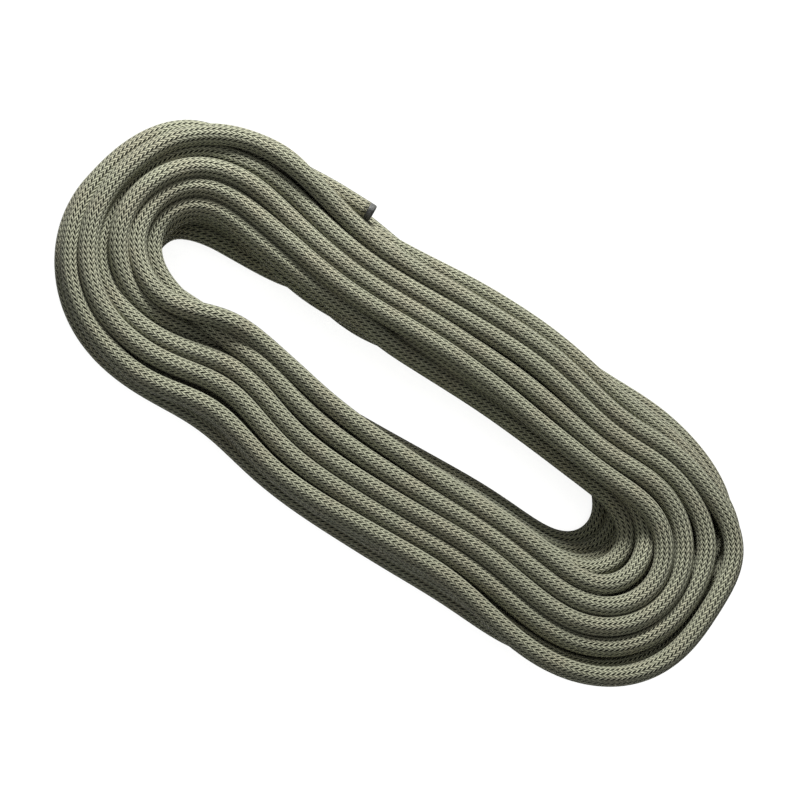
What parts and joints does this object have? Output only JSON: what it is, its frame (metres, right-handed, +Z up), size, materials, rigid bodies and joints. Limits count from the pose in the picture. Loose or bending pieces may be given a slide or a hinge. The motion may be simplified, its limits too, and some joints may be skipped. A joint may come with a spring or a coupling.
{
  "type": "dynamic climbing rope",
  "caption": "Dynamic kernmantle climbing rope in olive green, laid in a flat race-track coil with one fused end showing on the top layer.",
  "frame": {"origin": "Middle of the coil's bounding box on the ground that it rests on.", "axes": "+X runs along the coil, +Y across it towards the flank where both ends lie, +Z up."},
  "size_m": [0.3723, 0.1448, 0.0463],
  "materials": {
    "sheath_braid": "woven, satin, olive green",
    "core_yarn": "twisted, white",
    "tape_film": "matte, plain",
    "fused_nylon": "melted, dull, dark grey"
  },
  "bodies": {
    "rope": {"rope_coil": "sheath_braid", "top_end_sheath": "sheath_braid", "top_end_core_strand_01": "core_yarn", "top_end_core_strand_02": "core_yarn", "top_end_core_strand_03": "core_yarn", "top_end_core_strand_04": "core_yarn", "top_end_core_strand_05": "core_yarn", "top_end_core_strand_06": "core_yarn", "top_end_core_strand_07": "core_yarn", "top_end_core_strand_08": "core_yarn", "top_end_core_strand_09": "core_yarn", "top_end_core_strand_10": "core_yarn", "top_end_core_strand_11": "core_yarn", "top_end_identity_tape": "tape_film", "top_end_fused_tip": "fused_nylon", "bottom_end_sheath": "sheath_braid", "bottom_end_core_strand_01": "core_yarn", "bottom_end_core_strand_02": "core_yarn", "bottom_end_core_strand_03": "core_yarn", "bottom_end_core_strand_04": "core_yarn", "bottom_end_core_strand_05": "core_yarn", "bottom_end_core_strand_06": "core_yarn", "bottom_end_core_strand_07": "core_yarn", "bottom_end_core_strand_08": "core_yarn", "bottom_end_core_strand_09": "core_yarn", "bottom_end_core_strand_10": "core_yarn", "bottom_end_core_strand_11": "core_yarn", "bottom_end_identity_tape": "tape_film", "bottom_end_fused_tip": "fused_nylon"}
  },
  "joints": []
}
